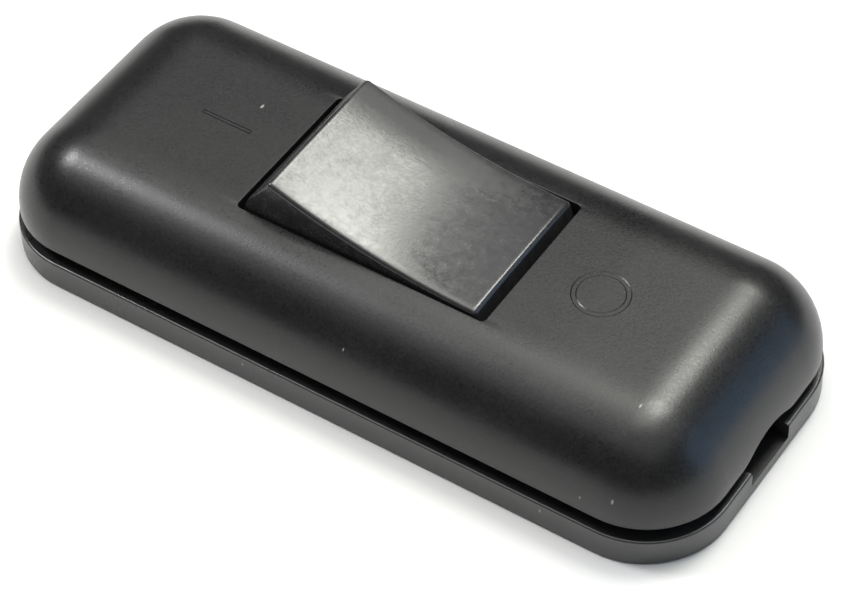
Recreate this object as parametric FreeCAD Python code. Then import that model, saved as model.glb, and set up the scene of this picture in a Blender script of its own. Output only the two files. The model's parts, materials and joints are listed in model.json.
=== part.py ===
import FreeCAD, Part
import math
import os

# Inline cord switch: a two-pole rocker switch in a pillow-shaped moulded housing.
# Sizes are in millimetres. X runs along the cord towards the end marked O, Y runs
# across, and Z runs up from the underside. Each piece is drawn where it sits with
# the O end of the rocker pressed down.

# Housing
body_length = 80.0
body_width = 33.7
plan_corner = 8.7
base_height = 3.2
base_step = 0.3
base_edge = 0.2
base_floor = 1.4
reveal_height = 1.55
reveal_depth = 1.2
cover_height = 9.05
cover_wall = 2.0
rim_land = 0.35
lip_height = 2.0
lip_wall = 1.4
lip_gap = 0.15

# Cord entries and cord clamps
cord_width = 7.0
arch_half = 5.2
arch_rise = 1.3
arch_blend = 3.5
clamp_inset = 11.0
clamp_screw_y = 6.4
clamp_post_height = 3.2
clamp_length = 18.0
clamp_width = 4.4
clamp_thickness = 2.2
clamp_tongue = 1.2
clamp_tongue_length = 1.4
hook_gap = 0.15
hook_wall = 1.2
grip_height = 0.6
grip_width = 0.8
grip_side_gap = 0.3

# Rocker and its bearings in the cover
opening_length = 28.2
opening_width = 17.6
opening_corner = 0.5
rocker_gap = 0.25
rocker_swing = 22.0
pivot_depth = 4.4
crest_half = 11.85
crest_height = 7.35
dish_depth = 1.0
end_slope = 20.0
skirt_gap = 0.3
skirt_drop = 0.6
rocker_wall = 1.6
rocker_top = 1.8
rocker_edge = 0.3
axle_radius = 1.3
axle_fit = 0.05
axle_short = 0.2
ear_half = 2.4
ear_drop = 2.0
cheek_wall = 1.8
cheek_radius = 3.0

# Sprung plungers in the rocker
pole_offset = 4.2
plunger_radius = 1.6
plunger_fit = 0.06
plunger_head = 1.2
nose_radius = 0.8
nose_gap = 0.12
sleeve_wall = 0.85
sleeve_drop = 1.4
spring_wire = 0.35
spring_side_gap = 0.2
spring_turns = 3
spring_sides = 7
spring_wire_sides = 4
seat_gap = 0.05

# Seesaw levers and contacts
lever_height = 3.2
lever_swing = 14.0
lever_half = 8.2
lever_width = 4.4
lever_sheet = 0.8
tab_fit = 0.05
tab_over = 0.2
contact_x = 7.2
contact_size = 2.4
contact_height = 0.6
contact_play = 0.1
stop_length = 1.4
stop_play = 0.1

# Sheet brass strips and pillar terminals
strip_sheet = 0.6
tail_width = 2.4
tail_gap = 0.3
cradle_half = 1.8
ear_gap = 0.2
ear_rise = 0.4
terminal_x = 18.4
terminal_length = 5.2
terminal_width = 5.2
terminal_height = 5.4
wire_radius = 1.3
wire_height = 1.9
pocket_gap = 0.2
rib = 1.0
rib_height = 3.2
barrier = 1.2
barrier_height = 3.8

# Screws
thread_fit = 0.05
drive_width = 0.6
drive_depth = 0.6
terminal_screw_radius = 1.45
terminal_screw_stand = 0.9
clamp_screw_radius = 0.95
clamp_screw_length = 4.2
clamp_head_radius = 2.0
clamp_head_height = 1.4
clamp_hole_gap = 0.35
housing_screw_gap = 0.5
housing_screw_y = 10.2
housing_screw_radius = 1.1
housing_screw_length = 8.4
housing_head_radius = 2.3
housing_head_height = 1.4
housing_head_recess = 0.8
housing_hole_gap = 0.3
counterbore_gap = 0.2
column_wall = 0.5
boss_wall = 1.65
boss_seat = 5.6
pilot_spare = 0.4

# Levels and sizes that follow from the ones above
cut_past = 1.0
rim_z = base_height + reveal_height
cover_top_z = rim_z + cover_height
ceiling_z = cover_top_z - cover_wall
lip_top_z = rim_z + lip_height
inner_length = body_length - 2 * cover_wall
inner_width = body_width - 2 * cover_wall
cover_corner = min(plan_corner, cover_height - rim_land)
inner_corner = cover_corner - cover_wall
lip_length = inner_length - 2 * lip_gap
lip_width = inner_width - 2 * lip_gap
lip_corner = inner_corner - lip_gap
pivot_z = cover_top_z - pivot_depth
rocker_tilt = rocker_swing / 2
rocker_width = opening_width - 2 * rocker_gap
skirt_radius = math.hypot(opening_length / 2, ceiling_z - pivot_z) - skirt_gap
bore_end = crest_height - dish_depth - rocker_top
bore_radius = plunger_radius + plunger_fit
sleeve_half = bore_radius + sleeve_wall
lever_z = base_floor + lever_height
lever_tilt = lever_swing / 2
contact_low = contact_x - contact_size / 2
contact_high = contact_x + contact_size / 2
strip_top = base_floor + strip_sheet
nose_reach = pivot_z - lever_z - lever_sheet / 2 - nose_radius - nose_gap
ear_inner = lever_width / 2 + ear_gap
ear_outer = ear_inner + strip_sheet
terminal_inner = terminal_x - terminal_length / 2
terminal_outer = terminal_x + terminal_length / 2
terminal_top = strip_top + terminal_height
wire_z = strip_top + wire_height
clamp_x = body_length / 2 - clamp_inset
clamp_seat_z = base_floor + clamp_post_height
clamp_top_z = clamp_seat_z + clamp_thickness
grip_half = cord_width / 2 - grip_side_gap
hook_inner = clamp_length / 2 + hook_gap
hook_outer = hook_inner + hook_wall
ledge_z = clamp_seat_z + clamp_tongue + hook_gap
head_seat_z = housing_head_recess + housing_head_height
counterbore_radius = housing_head_radius + counterbore_gap
column_radius = counterbore_radius + column_wall
pilot_radius = housing_screw_radius + thread_fit
boss_radius = pilot_radius + boss_wall
housing_screw_x = clamp_x - clamp_width / 2 - housing_screw_gap - boss_radius
pilot_top = head_seat_z + housing_screw_length + pilot_spare

pivot = FreeCAD.Vector(0, 0, pivot_z)
y_axis = FreeCAD.Vector(0, 1, 0)
poles = {"front": -pole_offset, "rear": pole_offset}
housing_screw_places = [
    (housing_screw_x, -housing_screw_y),
    (-housing_screw_x, housing_screw_y),
]
clamp_screw_places = [(-clamp_x, clamp_screw_y), (clamp_x, -clamp_screw_y)]


def vec(x, y, z):
    return FreeCAD.Vector(x, y, z)


def slab(x_low, x_high, y_low, y_high, z_low, z_high):
    """Box between two corners."""
    return Part.makeBox(x_high - x_low, y_high - y_low, z_high - z_low, vec(x_low, y_low, z_low))


def post(radius, x, y, z_low, z_high):
    """Upright cylinder."""
    return Part.makeCylinder(radius, z_high - z_low, vec(x, y, z_low))


def rod(radius, x, z, y_low, y_high):
    """Cylinder that lies across the switch."""
    return Part.makeCylinder(radius, y_high - y_low, vec(x, y_low, z), y_axis)


def fused(first, *others):
    """One solid without the seams between its pieces."""
    return first.fuse(list(others)).removeSplitter()


def rounded_block(length, width, corner, z_low, z_high):
    """Upright block, rounded in plan and centred on the origin."""
    block = slab(-length / 2, length / 2, -width / 2, width / 2, z_low, z_high)
    upright = [edge for edge in block.Edges if edge.BoundBox.ZLength > (z_high - z_low) / 2]
    return block.makeFillet(corner, upright)


def edges_at(shape, z):
    """Edges that lie flat at one height."""
    return [e for e in shape.Edges if e.BoundBox.ZLength < 1e-6 and abs(e.BoundBox.ZMin - z) < 1e-6]


def pillow(length, width, corner, z_low, z_high):
    """Block whose corners and sides all roll over into the top with one radius."""
    block = slab(-length / 2, length / 2, -width / 2, width / 2, z_low, z_high)
    rolled = [edge for edge in block.Edges if edge.BoundBox.ZMax > z_low + 1e-6]
    return block.makeFillet(corner, rolled)


def face_across(edges):
    """Face in the X-Z plane from edges in order."""
    return Part.Face(Part.Wire(edges))


def line(a, b):
    return Part.LineSegment(a, b).toShape()


def arc(a, through, b):
    return Part.Arc(a, through, b).toShape()


def arch_tunnel():
    """Soft arch in the cover's rim over the cord, running the whole length."""
    crown_radius = (arch_half**2 + arch_rise**2) / (2 * arch_rise) - arch_blend
    share = crown_radius / (crown_radius + arch_blend)
    crown_z = rim_z + arch_rise - crown_radius
    join_y = arch_half * share
    join_z = crown_z + (rim_z + arch_blend - crown_z) * share
    turn = math.asin(arch_half / (crown_radius + arch_blend)) / 2
    mid_y = arch_half - arch_blend * math.sin(turn)
    mid_z = rim_z + arch_blend * (1 - math.cos(turn))
    start_x = -body_length / 2 - cut_past
    foot_z = rim_z - cut_past
    crown = vec(start_x, 0, rim_z + arch_rise)
    left_foot = vec(start_x, -arch_half, rim_z)
    left_mid = vec(start_x, -mid_y, mid_z)
    left_join = vec(start_x, -join_y, join_z)
    right_foot = vec(start_x, arch_half, rim_z)
    right_mid = vec(start_x, mid_y, mid_z)
    right_join = vec(start_x, join_y, join_z)
    left_base = vec(start_x, -arch_half, foot_z)
    right_base = vec(start_x, arch_half, foot_z)
    outline = [
        line(left_base, left_foot),
        arc(left_foot, left_mid, left_join),
        arc(left_join, crown, right_join),
        arc(right_join, right_mid, right_foot),
        line(right_foot, right_base),
        line(right_base, left_base),
    ]
    return face_across(outline).extrude(vec(body_length + 2 * cut_past, 0, 0))


def rocker_cheek(side):
    """Bearing cheek that hangs beside the opening and holds one end of the axle."""
    inner = opening_width / 2
    outer = inner + cheek_wall
    y_low = min(side * inner, side * outer)
    y_high = max(side * inner, side * outer)
    top_z = ceiling_z + cover_wall / 2
    plate = slab(-cheek_radius, cheek_radius, y_low, y_high, pivot_z, top_z)
    return plate.fuse(rod(cheek_radius, 0, pivot_z, y_low, y_high))


def make_top_cover():
    outside = pillow(body_length, body_width, cover_corner, rim_z, cover_top_z)
    inside = rounded_block(inner_length, inner_width, inner_corner, rim_z, ceiling_z)
    # This bevel leaves the full wall under the middle of the outside rounding.
    inside = inside.makeChamfer((2 - math.sqrt(2)) * inner_corner, edges_at(inside, ceiling_z))
    shell = outside.cut(inside)
    pieces = [rocker_cheek(-1), rocker_cheek(1)]
    for x, y in housing_screw_places:
        boss = post(boss_radius, x, y, boss_seat, ceiling_z + cover_wall / 2)
        pieces.append(boss.common(outside))
    shell = fused(shell, *pieces)
    axle_half = opening_width / 2 + cheek_wall + cut_past
    cuts = [
        rounded_block(opening_length, opening_width, opening_corner, ceiling_z - cut_past, cover_top_z + cut_past),
        rod(axle_radius + axle_fit, 0, pivot_z, -axle_half, axle_half),
        arch_tunnel(),
    ]
    for x, y in housing_screw_places:
        cuts.append(post(pilot_radius, x, y, boss_seat - cut_past, pilot_top))
    return shell.cut(cuts)


def base_shell():
    """Base plate with its set-back reveal and the lip that goes inside the cover."""
    plate = rounded_block(
        body_length + 2 * base_step, body_width + 2 * base_step, cover_corner + base_step, 0, base_height
    )
    plate = plate.makeChamfer(base_edge, edges_at(plate, 0) + edges_at(plate, base_height))
    reveal = rounded_block(
        body_length - 2 * reveal_depth, body_width - 2 * reveal_depth, cover_corner - reveal_depth, base_floor, rim_z
    )
    lip = rounded_block(lip_length, lip_width, lip_corner, base_floor, lip_top_z)
    hollow = rounded_block(
        lip_length - 2 * lip_wall, lip_width - 2 * lip_wall, lip_corner - lip_wall, base_floor, lip_top_z + cut_past
    )
    return fused(plate, reveal, lip).cut(hollow)


def clamp_supports(end):
    """Screw post on one side of the cord and a hook for the clamp's tongue on the other."""
    x_low = end * clamp_x - clamp_width / 2
    x_high = end * clamp_x + clamp_width / 2
    post_ys = sorted((-end * cord_width / 2, -end * clamp_length / 2))
    seat_ys = sorted((end * cord_width / 2, end * hook_outer))
    wall_ys = sorted((end * hook_inner, end * hook_outer))
    ledge_ys = sorted((end * (clamp_length / 2 - clamp_tongue_length + hook_gap), end * hook_outer))
    return [
        slab(x_low, x_high, *post_ys, 0, clamp_seat_z),
        slab(x_low, x_high, *seat_ys, 0, clamp_seat_z),
        slab(x_low, x_high, *wall_ys, 0, ledge_z + hook_wall),
        slab(x_low, x_high, *ledge_ys, ledge_z, ledge_z + hook_wall),
    ]


def base_fittings():
    """Ribs, stops and posts that stand on the floor of the base."""
    barrier_z = base_floor + barrier_height
    pieces = [slab(-terminal_outer, terminal_outer, -barrier / 2, barrier / 2, 0, barrier_z)]
    stop_drop = lever_half * math.sin(math.radians(lever_tilt))
    stop_drop += lever_sheet / 2 * math.cos(math.radians(lever_tilt))
    stop_z = lever_z - stop_drop - stop_play
    rib_inner = pole_offset + terminal_width / 2 + pocket_gap
    for side in (-1, 1):
        rib_ys = sorted((side * rib_inner, side * (rib_inner + rib)))
        for end in (-1, 1):
            rib_xs = sorted((end * terminal_inner, end * terminal_outer))
            pieces.append(slab(*rib_xs, *rib_ys, 0, base_floor + rib_height))
        for edge in (-1, 1):
            stop_inner = side * pole_offset + edge * (tail_width / 2 + tail_gap)
            stop_outer = side * pole_offset + edge * lever_width / 2
            stop_ys = sorted((stop_inner, stop_outer))
            pieces.append(slab(-lever_half, stop_length - lever_half, *stop_ys, 0, stop_z))
    for end in (-1, 1):
        pieces.extend(clamp_supports(end))
        for step in (-1, 1):
            grip_x = end * clamp_x + step * clamp_width / 4
            grip_z = base_floor + grip_height
            pieces.append(slab(grip_x - grip_width / 2, grip_x + grip_width / 2, -grip_half, grip_half, 0, grip_z))
    for x, y in housing_screw_places:
        pieces.append(post(column_radius, x, y, 0, boss_seat))
    return pieces


def make_base_tray():
    tray = fused(base_shell(), *base_fittings())
    notch_inner = lip_length / 2 - lip_wall - cut_past
    notch_outer = body_length / 2 + base_step + cut_past
    notch_top = lip_top_z + cut_past
    half = cord_width / 2
    cuts = [
        slab(notch_inner, notch_outer, -half, half, base_floor, notch_top),
        slab(-notch_outer, -notch_inner, -half, half, base_floor, notch_top),
    ]
    for x, y in housing_screw_places:
        cuts.append(post(counterbore_radius, x, y, -cut_past, head_seat_z))
        cuts.append(post(housing_screw_radius + housing_hole_gap, x, y, -cut_past, boss_seat + cut_past))
    hole_z = clamp_top_z - clamp_screw_length - pilot_spare
    for x, y in clamp_screw_places:
        cuts.append(post(clamp_screw_radius + thread_fit, x, y, hole_z, clamp_seat_z + cut_past))
    return tray.cut(cuts)


def rocker_outline():
    """Side view of the rocker: dished top, sloping ends and skirts about the axle."""
    slope = math.tan(math.radians(end_slope))
    start = crest_half + crest_height * slope
    # The sloping end meets the skirt where (start - slope z)^2 + z^2 equals the skirt radius squared.
    a = 1 + slope**2
    b = -2 * start * slope
    c = start**2 - skirt_radius**2
    knee_z = (-b - math.sqrt(b**2 - 4 * a * c)) / (2 * a)
    knee_x = start - slope * knee_z
    hem_x = math.sqrt(skirt_radius**2 - skirt_drop**2)
    mid_turn = (math.atan2(knee_z, knee_x) + math.atan2(-skirt_drop, hem_x)) / 2
    mid_x = skirt_radius * math.cos(mid_turn)
    mid_z = skirt_radius * math.sin(mid_turn)
    y = -rocker_width / 2
    left_crest = vec(-crest_half, y, crest_height)
    right_crest = vec(crest_half, y, crest_height)
    left_knee = vec(-knee_x, y, knee_z)
    right_knee = vec(knee_x, y, knee_z)
    left_hem = vec(-hem_x, y, -skirt_drop)
    right_hem = vec(hem_x, y, -skirt_drop)
    outline = [
        arc(left_crest, vec(0, y, crest_height - dish_depth), right_crest),
        line(right_crest, right_knee),
        arc(right_knee, vec(mid_x, y, mid_z), right_hem),
        line(right_hem, left_hem),
        arc(left_hem, vec(-mid_x, y, mid_z), left_knee),
        line(left_knee, left_crest),
    ]
    return face_across(outline), knee_z


def rocker_hollow(knee_z):
    """Space under the rocker's skin, open below."""
    slope = math.tan(math.radians(end_slope))
    skin = rocker_wall / math.cos(math.radians(end_slope))
    y = rocker_wall - rocker_width / 2
    low_z = -skirt_drop - cut_past
    hem_x = skirt_radius - rocker_wall
    roof_x = crest_half + (crest_height - bore_end) * slope - skin
    knee_x = min(hem_x, crest_half + (crest_height - knee_z) * slope - skin)
    corners = [
        vec(-hem_x, y, low_z),
        vec(hem_x, y, low_z),
        vec(knee_x, y, knee_z),
        vec(roof_x, y, bore_end),
        vec(-roof_x, y, bore_end),
        vec(-knee_x, y, knee_z),
        vec(-hem_x, y, low_z),
    ]
    profile = Part.Face(Part.makePolygon(corners))
    return profile.extrude(vec(0, rocker_width - 2 * rocker_wall, 0))


def seat_in_rocker(shape):
    """Moves a piece drawn about the axle into the rocker's resting place."""
    seated = shape.copy()
    seated.translate(pivot)
    seated.rotate(pivot, y_axis, rocker_tilt)
    return seated


def make_rocker():
    outline, knee_z = rocker_outline()
    body = outline.extrude(vec(0, rocker_width, 0))
    upper = [e for e in body.Edges if e.CenterOfMass.z > knee_z + 1e-3]
    body = body.makeChamfer(rocker_edge, upper)
    body = body.cut(rocker_hollow(knee_z))
    side_y = rocker_width / 2
    axle_half = opening_width / 2 + cheek_wall - axle_short
    pieces = []
    for side in (-1, 1):
        ear_ys = sorted((side * side_y, side * (side_y - rocker_wall)))
        axle_ys = sorted((side * axle_half, side * (side_y - rocker_wall)))
        pieces.append(slab(-ear_half, ear_half, *ear_ys, -ear_drop, 0))
        pieces.append(rod(axle_radius, 0, 0, *axle_ys))
    for y in poles.values():
        roof_z = bore_end + rocker_top / 2
        pieces.append(slab(-sleeve_half, sleeve_half, y - sleeve_half, y + sleeve_half, -sleeve_drop, roof_z))
    body = fused(body, *pieces)
    bores = [post(bore_radius, 0, y, -sleeve_drop - cut_past, bore_end) for y in poles.values()]
    return seat_in_rocker(body.cut(bores))


def make_plunger(y):
    """Round plunger with a wedge nose across the lever, no larger than a rounded nose would be."""
    tip_z = -nose_reach - nose_radius * math.cos(math.pi / 8)
    tip_half = nose_radius * math.sin(math.pi / 8)
    side = plunger_radius + cut_past
    side_z = tip_z + side - tip_half
    top_z = plunger_head + cut_past
    corners = [
        vec(-tip_half, y - side, tip_z),
        vec(tip_half, y - side, tip_z),
        vec(side, y - side, side_z),
        vec(side, y - side, top_z),
        vec(-side, y - side, top_z),
        vec(-side, y - side, side_z),
        vec(-tip_half, y - side, tip_z),
    ]
    wedge = Part.Face(Part.makePolygon(corners)).extrude(vec(0, 2 * side, 0))
    return seat_in_rocker(post(plunger_radius, 0, y, tip_z - cut_past, plunger_head).common(wedge))


def make_plunger_spring(y):
    """Coil spring between the plunger's shoulder and the end of its bore."""
    coil_radius = plunger_radius - spring_side_gap - spring_wire / 2
    low_z = plunger_head + seat_gap + spring_wire / 2
    high_z = bore_end - seat_gap - spring_wire / 2
    stations = spring_turns * spring_sides
    sections = []
    for i in range(stations + 1):
        turn = 2 * math.pi * i / spring_sides
        z = low_z + (high_z - low_z) * i / stations
        corners = []
        for k in range(spring_wire_sides + 1):
            wire_turn = 2 * math.pi * k / spring_wire_sides
            out = coil_radius + spring_wire / 2 * math.cos(wire_turn)
            rise = spring_wire / 2 * math.sin(wire_turn)
            corners.append(vec(out * math.cos(turn), y + out * math.sin(turn), z + rise))
        sections.append(Part.makePolygon(corners))
    return seat_in_rocker(Part.makeLoft(sections, True, True))


def seat_on_cradle(shape, y):
    """Moves a piece drawn about the lever's axis into its resting place."""
    centre = vec(0, y, lever_z)
    seated = shape.copy()
    seated.translate(centre)
    seated.rotate(centre, y_axis, -lever_tilt)
    return seated


def make_contact_lever(y):
    half = lever_width / 2
    reach = ear_outer + tab_over
    thick = lever_sheet / 2
    strip = slab(-lever_half, lever_half, -half, half, -thick, thick)
    tabs = slab(-thick, thick, -reach, reach, -thick, thick)
    return seat_on_cradle(fused(strip, tabs), y)


def make_moving_contact(y):
    face_z = -lever_sheet / 2
    tip = slab(contact_low, contact_high, -contact_size / 2, contact_size / 2, face_z - contact_height, face_z)
    return seat_on_cradle(tip, y)


def make_fixed_contact(y):
    """Contact tip that the moving one comes down on."""
    turn = math.radians(lever_tilt)
    closed_z = lever_z - contact_high * math.sin(turn)
    closed_z -= (lever_sheet / 2 + contact_height) * math.cos(turn)
    half = contact_size / 2
    return slab(contact_low, contact_high, y - half, y + half, strip_top, closed_z - contact_play)


def make_supply_strip(y):
    """Strip from the supply terminal to the cradle that carries the lever."""
    pad_half = terminal_width / 2
    tail_half = tail_width / 2
    ear_top = lever_z + ear_rise
    pieces = [
        slab(-terminal_outer, -terminal_inner, y - pad_half, y + pad_half, base_floor, strip_top),
        slab(-terminal_outer, cradle_half, y - tail_half, y + tail_half, base_floor, strip_top),
        slab(-cradle_half, cradle_half, y - ear_outer, y + ear_outer, base_floor, strip_top),
        slab(-cradle_half, cradle_half, y - ear_outer, y - ear_inner, base_floor, ear_top),
        slab(-cradle_half, cradle_half, y + ear_inner, y + ear_outer, base_floor, ear_top),
    ]
    strip = fused(*pieces)
    turn = math.radians(lever_tilt)
    seat = lever_sheet / 2 * (math.cos(turn) + math.sin(turn)) + tab_fit
    reach = ear_outer + cut_past
    notch = slab(-seat, seat, y - reach, y + reach, lever_z - seat, ear_top + cut_past)
    return strip.cut(notch)


def make_load_strip(y):
    """Strip from the fixed contact to the load terminal."""
    pad_half = terminal_width / 2
    half = lever_width / 2
    start = contact_x - half
    pad = slab(terminal_inner, terminal_outer, y - pad_half, y + pad_half, base_floor, strip_top)
    arm = slab(start, terminal_outer, y - half, y + half, base_floor, strip_top)
    return fused(pad, arm)


def make_terminal(end, y):
    """Pillar terminal: brass block with a wire hole and a tapped hole from above."""
    half = terminal_width / 2
    xs = sorted((end * terminal_inner, end * terminal_outer))
    block = slab(*xs, y - half, y + half, strip_top, terminal_top)
    wire_hole = Part.makeCylinder(
        wire_radius, terminal_length + 2 * cut_past, vec(xs[0] - cut_past, y, wire_z), vec(1, 0, 0)
    )
    tapped = post(terminal_screw_radius + thread_fit, end * terminal_x, y, wire_z, terminal_top + cut_past)
    return block.cut([wire_hole, tapped])


def drive_slot(radius, top_z):
    """Cutter for the slot across a screw's end."""
    return slab(-radius, radius, -drive_width / 2, drive_width / 2, top_z - drive_depth, top_z)


def headed_screw(shank_radius, shank_length, head_radius, head_height):
    """Screw that points down, with the seat of its head at the origin."""
    head = post(head_radius, 0, 0, 0, head_height).cut(drive_slot(head_radius, head_height))
    return fused(head, post(shank_radius, 0, 0, -shank_length, 0))


def make_terminal_screws():
    """Set screws that press the wires in the pillar terminals."""
    length = terminal_top + terminal_screw_stand - wire_z - wire_radius
    screws = []
    for x in (-terminal_x, terminal_x):
        for y in poles.values():
            screw = post(terminal_screw_radius, 0, 0, -length, 0).cut(drive_slot(terminal_screw_radius, 0))
            screw.translate(vec(x, y, terminal_top + terminal_screw_stand))
            screws.append(screw)
    return Part.makeCompound(screws)


def make_cord_clamp(end):
    """Bar across the cord: a tongue under the hook, a screw and a grip underneath."""
    x = end * clamp_x
    half = clamp_width / 2
    y_half = clamp_length / 2
    step_y = y_half - clamp_tongue_length
    bar_ys = sorted((-end * y_half, end * step_y))
    tongue_z = clamp_seat_z + clamp_tongue
    grip_low = clamp_seat_z - grip_height
    clamp = fused(
        slab(x - half, x + half, *bar_ys, clamp_seat_z, clamp_top_z),
        slab(x - half, x + half, -y_half, y_half, clamp_seat_z, tongue_z),
        slab(x - grip_width / 2, x + grip_width / 2, -grip_half, grip_half, grip_low, clamp_top_z),
    )
    hole_radius = clamp_screw_radius + clamp_hole_gap
    return clamp.cut(post(hole_radius, x, -end * clamp_screw_y, 0, clamp_top_z + cut_past))


def make_clamp_screws():
    screws = []
    for x, y in clamp_screw_places:
        screw = headed_screw(clamp_screw_radius, clamp_screw_length, clamp_head_radius, clamp_head_height)
        screw.translate(vec(x, y, clamp_top_z))
        screws.append(screw)
    return Part.makeCompound(screws)


def make_housing_screws():
    screws = []
    for x, y in housing_screw_places:
        screw = headed_screw(
            housing_screw_radius, housing_screw_length, housing_head_radius, housing_head_height
        )
        screw.rotate(vec(0, 0, 0), vec(1, 0, 0), 180)
        screw.translate(vec(x, y, head_seat_z))
        screws.append(screw)
    return Part.makeCompound(screws)


def make_parts():
    parts = {
        "top_cover": make_top_cover(),
        "base_tray": make_base_tray(),
        "rocker": make_rocker(),
        "terminal_screws": make_terminal_screws(),
        "cord_clamp_supply": make_cord_clamp(-1),
        "cord_clamp_load": make_cord_clamp(1),
        "clamp_screws": make_clamp_screws(),
        "housing_screws": make_housing_screws(),
    }
    for pole, y in poles.items():
        parts["plunger_" + pole] = make_plunger(y)
        parts["plunger_spring_" + pole] = make_plunger_spring(y)
        parts["contact_lever_" + pole] = make_contact_lever(y)
        parts["moving_contact_" + pole] = make_moving_contact(y)
        parts["fixed_contact_" + pole] = make_fixed_contact(y)
        parts["supply_strip_" + pole] = make_supply_strip(y)
        parts["load_strip_" + pole] = make_load_strip(y)
        parts["supply_terminal_" + pole] = make_terminal(-1, y)
        parts["load_terminal_" + pole] = make_terminal(1, y)
    return parts


os.makedirs("parts", exist_ok=True)
for name, shape in make_parts().items():
    shape.exportStep("parts/" + name + ".step")
    print(name, "solids", len(shape.Solids), "volume", round(shape.Volume, 2), "valid", shape.isValid())
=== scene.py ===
# %% [markdown]
# # An inline cord switch, dressed for the photograph
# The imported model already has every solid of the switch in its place. This lesson keeps
# that frame and gives it looks: the three moulded shells that the eye meets get clean
# skins with soft edges, the marks are sunk into the cover, the springs are wound from round
# wire, and every piece gets a finish. The frame is in metres. New shapes are drawn in
# millimetres, and they are scaled when they are seated.

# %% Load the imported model
import json
import math

import bmesh
import bpy
from mathutils import Matrix, Vector


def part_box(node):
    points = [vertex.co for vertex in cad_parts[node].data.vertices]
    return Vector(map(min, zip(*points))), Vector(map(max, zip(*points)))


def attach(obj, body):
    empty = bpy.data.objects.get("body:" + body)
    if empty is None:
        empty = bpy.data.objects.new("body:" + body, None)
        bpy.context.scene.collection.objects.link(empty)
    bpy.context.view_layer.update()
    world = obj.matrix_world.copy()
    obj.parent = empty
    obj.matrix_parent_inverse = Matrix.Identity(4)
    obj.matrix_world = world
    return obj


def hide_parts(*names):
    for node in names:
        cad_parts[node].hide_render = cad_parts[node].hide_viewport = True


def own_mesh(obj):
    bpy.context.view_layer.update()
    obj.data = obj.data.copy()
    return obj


to_mm = 1000
to_metres = 0.001

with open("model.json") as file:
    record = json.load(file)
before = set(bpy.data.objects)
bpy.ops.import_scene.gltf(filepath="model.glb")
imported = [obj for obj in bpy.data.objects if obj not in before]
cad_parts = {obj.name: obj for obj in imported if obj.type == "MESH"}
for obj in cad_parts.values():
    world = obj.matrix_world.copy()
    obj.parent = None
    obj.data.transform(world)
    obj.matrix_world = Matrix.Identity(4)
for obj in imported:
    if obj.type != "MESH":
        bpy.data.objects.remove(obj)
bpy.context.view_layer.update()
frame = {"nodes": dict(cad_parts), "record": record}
nodes = frame["nodes"]

# %% [markdown]
# ## The camera
# The photograph was taken from above the front right corner with a long lens, so the far
# end of the switch is hardly smaller than the near one. A camera could be nudged by eye,
# but here its place was solved from the corners of the housing and of the rocker opening.
# It is given by angles about the switch, and the lens follows from the focal length in
# pixels over the picture's width.

# %% Set the camera
photo_width = 843
focal_pixels = 3140.9
camera_azimuth = 34.681
camera_elevation = 47.685
camera_lean = math.radians(-1.802)
camera_distance = 0.311383
slide_right = 0.000902
slide_up = 0.000532


def direction(azimuth, elevation):
    """Away from the switch, by angles in degrees. Azimuth 0 is the front and 90 the O end."""
    a = math.radians(azimuth)
    e = math.radians(elevation)
    return Vector((math.sin(a) * math.cos(e), -math.cos(a) * math.cos(e), math.sin(e)))


back = direction(camera_azimuth, camera_elevation)
level_right = direction(camera_azimuth + 90, 0)
level_up = back.cross(level_right)
right = level_right * math.cos(camera_lean) + level_up * math.sin(camera_lean)
up = level_up * math.cos(camera_lean) - level_right * math.sin(camera_lean)

lens = bpy.data.cameras.new("photo_camera")
lens.sensor_width = 36
lens.lens = focal_pixels * lens.sensor_width / photo_width
lens.clip_start = 0.01
camera = bpy.data.objects.new("photo_camera", lens)
camera_place = right * slide_right + up * slide_up + back * camera_distance
facing = Matrix((right, up, back)).transposed().to_4x4()
camera.matrix_world = Matrix.Translation(camera_place) @ facing
bpy.context.scene.collection.objects.link(camera)
bpy.context.scene.camera = camera
print("camera at", [round(v, 4) for v in camera_place], "lens", round(lens.lens, 2), "mm")

# %% [markdown]
# ## The studio
# A black plastic part shows its surroundings more than its own colour: the bright bands on
# its shoulders are mirror pictures of lamps. One broad lamp would be simpler, but it would
# give one band. So the mirrored direction was worked out from each band, and a soft panel
# was hung there: a small bright window on the left for the front shoulder, a warm panel high
# behind for the rocker and the shoulder of the O end, and a dim one across from the camera
# for the flat top. A panel overhead and a faint ceiling lift the shades between them, and a
# cool panel low on the right tints the roll of the O end. A pale floor lifts the lower
# sides. Brightness is given as radiance, so that a panel keeps its look in the plastic when
# its size changes.

# %% Hang the soft panels
switch_middle = Vector((0, 0, 0.008))
white = (1.0, 1.0, 1.0)
warm = (1.0, 1.0, 0.93)
cool = (0.38, 0.64, 1.0)


def hang_panel(name, azimuth, elevation, away, width, height, radiance, tint=white):
    """Rectangular lamp that faces the switch. Its lengths are in metres."""
    lamp = bpy.data.lights.new(name, "AREA")
    lamp.shape = "RECTANGLE"
    lamp.size = width
    lamp.size_y = height
    lamp.energy = radiance * math.pi * width * height
    lamp.color = tint
    towards = direction(azimuth, elevation)
    panel = bpy.data.objects.new(name, lamp)
    panel.location = switch_middle + towards * away
    panel.rotation_euler = towards.to_track_quat("Z", "Y").to_euler()
    bpy.context.scene.collection.objects.link(panel)
    print(name, "power", round(lamp.energy, 2), "W")


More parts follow.
